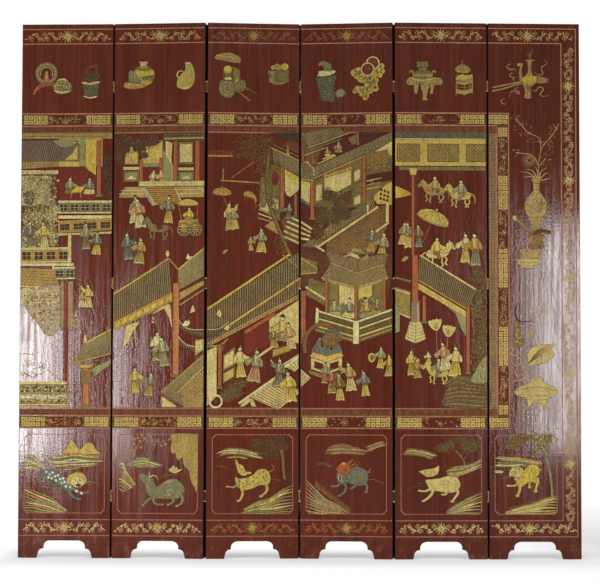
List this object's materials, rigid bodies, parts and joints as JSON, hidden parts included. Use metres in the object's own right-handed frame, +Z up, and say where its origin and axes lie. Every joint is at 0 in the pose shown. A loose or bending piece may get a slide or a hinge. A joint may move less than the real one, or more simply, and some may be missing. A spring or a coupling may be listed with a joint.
{
  "type": "folding screen",
  "caption": "Six-leaf folding screen of lacquered boards with arched feet, brass pin hinges and painted and incised front decoration.",
  "frame": {"origin": "middle of the screen's footprint box, on the floor", "axes": "+X along the screen from the first leaf to the last, +Y from the decorated front to the back, +Z up"},
  "size_m": [2.2299, 0.0679, 2.13],
  "materials": {
    "bare_wood": "matte",
    "hard_wood": "matte",
    "front_lacquer": "gloss",
    "back_lacquer": "satin",
    "edge_lacquer": "satin",
    "pigment": "matte",
    "hinge_brass": "satin",
    "black_felt": "matte"
  },
  "bodies": {
    "panel_1": {"panel_1_boards": "bare_wood", "panel_1_joinery": "hard_wood", "panel_1_front_lacquer": "front_lacquer", "panel_1_back_lacquer": "back_lacquer", "panel_1_edge_lacquer": "edge_lacquer", "panel_1_inlay": "pigment", "panel_1_hinge_leaves": "hinge_brass", "panel_1_hinge_nails": "hinge_brass", "hinge_12_pins": "hinge_brass", "draught_strip_12": "black_felt"},
    "panel_2": {"panel_2_boards": "bare_wood", "panel_2_joinery": "hard_wood", "panel_2_front_lacquer": "front_lacquer", "panel_2_back_lacquer": "back_lacquer", "panel_2_edge_lacquer": "edge_lacquer", "panel_2_inlay": "pigment", "panel_2_hinge_leaves": "hinge_brass", "panel_2_hinge_nails": "hinge_brass", "hinge_23_pins": "hinge_brass", "draught_strip_23": "black_felt"},
    "panel_3": {"panel_3_boards": "bare_wood", "panel_3_joinery": "hard_wood", "panel_3_front_lacquer": "front_lacquer", "panel_3_back_lacquer": "back_lacquer", "panel_3_edge_lacquer": "edge_lacquer", "panel_3_inlay": "pigment", "panel_3_hinge_leaves": "hinge_brass", "panel_3_hinge_nails": "hinge_brass", "hinge_34_pins": "hinge_brass", "draught_strip_34": "black_felt"},
    "panel_4": {"panel_4_boards": "bare_wood", "panel_4_joinery": "hard_wood", "panel_4_front_lacquer": "front_lacquer", "panel_4_back_lacquer": "back_lacquer", "panel_4_edge_lacquer": "edge_lacquer", "panel_4_inlay": "pigment", "panel_4_hinge_leaves": "hinge_brass", "panel_4_hinge_nails": "hinge_brass", "hinge_45_pins": "hinge_brass", "draught_strip_45": "black_felt"},
    "panel_5": {"panel_5_boards": "bare_wood", "panel_5_joinery": "hard_wood", "panel_5_front_lacquer": "front_lacquer", "panel_5_back_lacquer": "back_lacquer", "panel_5_edge_lacquer": "edge_lacquer", "panel_5_inlay": "pigment", "panel_5_hinge_leaves": "hinge_brass", "panel_5_hinge_nails": "hinge_brass", "hinge_56_pins": "hinge_brass", "draught_strip_56": "black_felt"},
    "panel_6": {"panel_6_boards": "bare_wood", "panel_6_joinery": "hard_wood", "panel_6_front_lacquer": "front_lacquer", "panel_6_back_lacquer": "back_lacquer", "panel_6_edge_lacquer": "edge_lacquer", "panel_6_inlay": "pigment", "panel_6_hinge_leaves": "hinge_brass", "panel_6_hinge_nails": "hinge_brass"}
  },
  "joints": [
    {"name": "fold_23", "type": "hinge", "parent": "panel_3", "child": "panel_2", "pos_m": [-0.37289, -0.00569, 1.065], "axis": [0, 0, -1], "range_deg": [-11, 169]},
    {"name": "fold_12", "type": "hinge", "parent": "panel_2", "child": "panel_1", "pos_m": [-0.74618, -0.00415, 1.065], "axis": [0, 0, 1], "range_deg": [-3.5, 176.5]},
    {"name": "fold_34", "type": "hinge", "parent": "panel_3", "child": "panel_4", "pos_m": [0.00031, 0.00236, 1.065], "axis": [0, 0, -1], "range_deg": [-12, 168]},
    {"name": "fold_45", "type": "hinge", "parent": "panel_4", "child": "panel_5", "pos_m": [0.37351, -0.00569, 1.065], "axis": [0, 0, 1], "range_deg": [-9, 171]},
    {"name": "fold_56", "type": "hinge", "parent": "panel_5", "child": "panel_6", "pos_m": [0.74662, -0.01718, 1.065], "axis": [0, 0, -1], "range_deg": [0, 180]}
  ]
}
